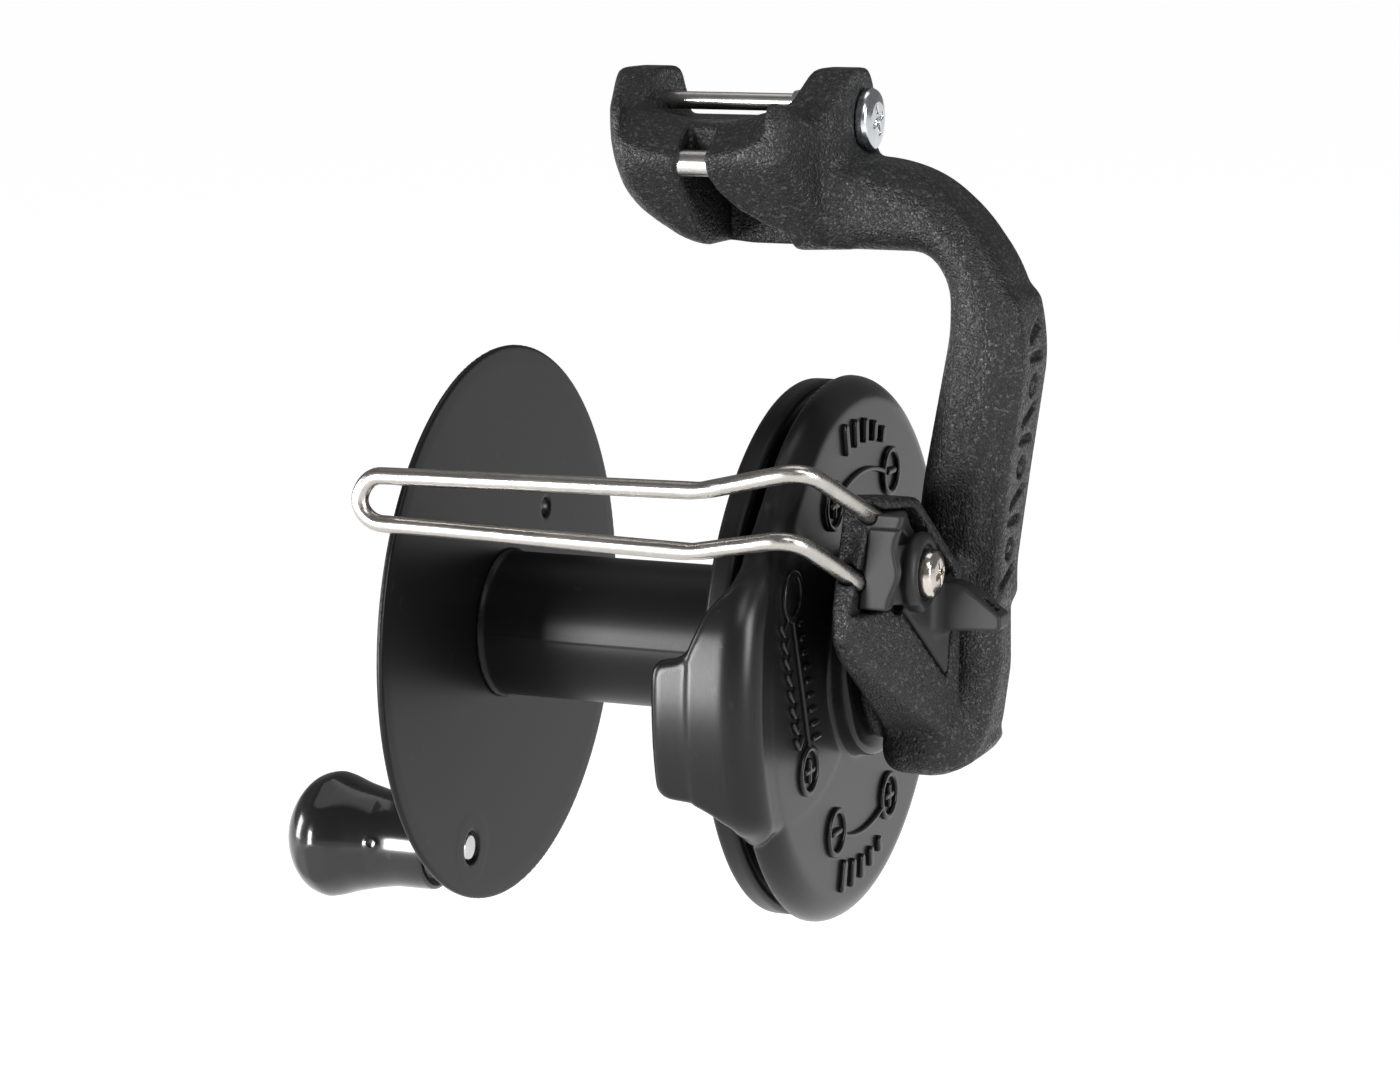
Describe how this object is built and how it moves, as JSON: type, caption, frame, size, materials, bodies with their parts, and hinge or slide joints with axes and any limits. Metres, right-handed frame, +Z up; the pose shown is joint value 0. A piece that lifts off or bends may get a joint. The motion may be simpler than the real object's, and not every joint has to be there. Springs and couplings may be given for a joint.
{
  "type": "hand line reel",
  "caption": "Hand-wound line reel with a crank knob, a thumb-operated friction disc and a wire line guide, hung from a cranked arm with a pinned yoke.",
  "frame": {"origin": "middle of the yoke's upper cross pin, on its axis, midway between the two ears", "axes": "+X along the reel axis from the crank side to the arm side, -Y to the user's front, +Z up; the reel axis runs 95.4 mm below the origin"},
  "size_m": [0.1333, 0.1046, 0.1524],
  "materials": {
    "arm": "sintered nylon, grainy",
    "block": "smooth matt moulded",
    "reel": "satin moulded",
    "disc": "satin moulded",
    "knob": "glossy moulded",
    "pin": "drawn stainless",
    "wire": "drawn stainless with tool marks",
    "zinc": "bright zinc",
    "nickel": "bright nickel",
    "steel": "turned",
    "brass": "turned",
    "aluminium": "turned",
    "acetal": "turned",
    "friction": "woven friction lining"
  },
  "bodies": {
    "arm": {"arm": "arm", "upper_cross_pin": "pin", "hook_pin": "pin", "pin_collar": "zinc", "clamp_screw": "zinc", "axle": "steel", "brake_sleeve": "brass", "retaining_washer": "steel", "retaining_screw": "zinc", "guide_block": "block", "guide_wire": "wire", "guide_screw": "nickel"},
    "disc": {"friction_disc": "disc", "disc_marks": "disc", "disc_bush": "brass", "thrust_ring": "acetal"},
    "plate": {"pressure_plate": "aluminium", "friction_washer": "friction", "return_spring": "steel"},
    "spool": {"crank_flange": "reel", "drum": "reel", "brake_flange": "reel", "flange_screws": "steel", "crank_side_bush": "acetal", "brake_side_bush": "acetal", "knob_pin": "steel"},
    "knob": {"crank_knob": "knob", "knob_cap": "knob", "knob_washer": "acetal"}
  },
  "joints": [
    {"name": "spool_spin", "type": "hinge", "parent": "arm", "child": "spool", "pos_m": [0, 0, -0.0954], "axis": [1, 0, 0], "continuous": true},
    {"name": "disc_turn", "type": "hinge", "parent": "arm", "child": "disc", "pos_m": [0, 0, -0.0954], "axis": [1, 0, 0], "range_deg": [0, 54]},
    {"name": "plate_slide", "type": "slide", "parent": "arm", "child": "plate", "axis": [-1, 0, 0], "range_m": [0, 0.0012], "deforming": ["return_spring"]},
    {"name": "knob_spin", "type": "hinge", "parent": "spool", "child": "knob", "pos_m": [-0.0453, -0.01603, -0.13411], "axis": [1, 0, 0], "continuous": true}
  ],
  "couplings": [
    {"joint": "plate_slide", "follows": "disc_turn", "m_per_rad": 0.001273}
  ]
}
